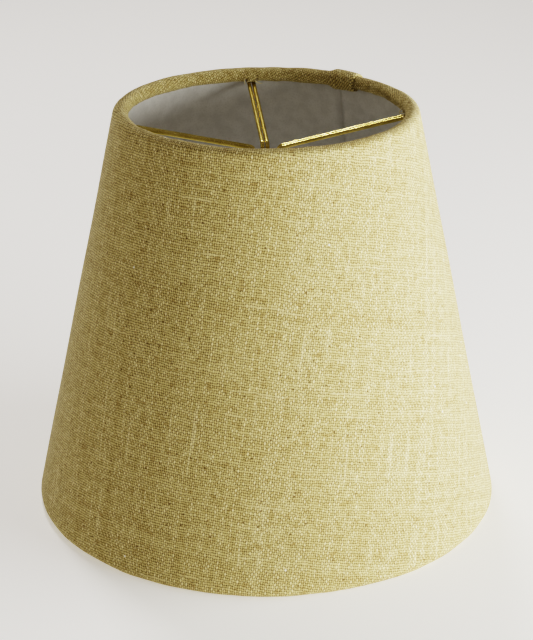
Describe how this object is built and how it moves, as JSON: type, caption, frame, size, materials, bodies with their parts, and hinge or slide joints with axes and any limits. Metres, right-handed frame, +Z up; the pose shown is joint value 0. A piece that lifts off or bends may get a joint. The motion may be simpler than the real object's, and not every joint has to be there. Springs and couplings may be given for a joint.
{
  "type": "clip-on candle lamp shade",
  "caption": "Tapered linen lamp shade with rolled rims, a plastic lining and a sprung brass wire clip that grips a candle bulb.",
  "frame": {"origin": "middle of the bottom rim, in the plane the shade stands on", "axes": "+Z up the shade's axis, +X and +Y along two arms of the bulb clip"},
  "size_m": [0.14, 0.14, 0.1243],
  "materials": {
    "linen": "plain-woven slubby linen, natural olive khaki, matte",
    "lining": "satin off-white styrene sheet",
    "tape": "clear double-sided tape",
    "ring_wire": "drawn steel wire with a thin brass wash",
    "clip_wire": "bright brass-plated spring wire",
    "weld": "brass-plated weld, slightly dull"
  },
  "bodies": {
    "shade": {"fabric_cover": "linen", "lining_panel": "lining", "seam_tape": "tape", "top_ring": "ring_wire", "bottom_ring": "ring_wire"},
    "clip_right": {"clip_hairpin_right": "clip_wire", "clip_weld_right": "weld"},
    "clip_back": {"clip_hairpin_back": "clip_wire", "clip_weld_back": "weld"},
    "clip_left": {"clip_hairpin_left": "clip_wire", "clip_weld_left": "weld"},
    "clip_front": {"clip_hairpin_front": "clip_wire", "clip_weld_front": "weld"}
  },
  "joints": [
    {"name": "grip_right", "type": "hinge", "parent": "shade", "child": "clip_right", "pos_m": [0.0421, 0, 0.1206], "axis": [0, -1, 0], "range_deg": [0, 6], "stiffness_Nm_per_rad": 0.8},
    {"name": "grip_back", "type": "hinge", "parent": "shade", "child": "clip_back", "pos_m": [0, 0.0421, 0.1206], "axis": [1, 0, 0], "range_deg": [0, 6], "stiffness_Nm_per_rad": 0.8},
    {"name": "grip_left", "type": "hinge", "parent": "shade", "child": "clip_left", "pos_m": [-0.0421, 0, 0.1206], "axis": [0, 1, 0], "range_deg": [0, 6], "stiffness_Nm_per_rad": 0.8},
    {"name": "grip_front", "type": "hinge", "parent": "shade", "child": "clip_front", "pos_m": [0, -0.0421, 0.1206], "axis": [-1, 0, 0], "range_deg": [0, 6], "stiffness_Nm_per_rad": 0.8}
  ]
}
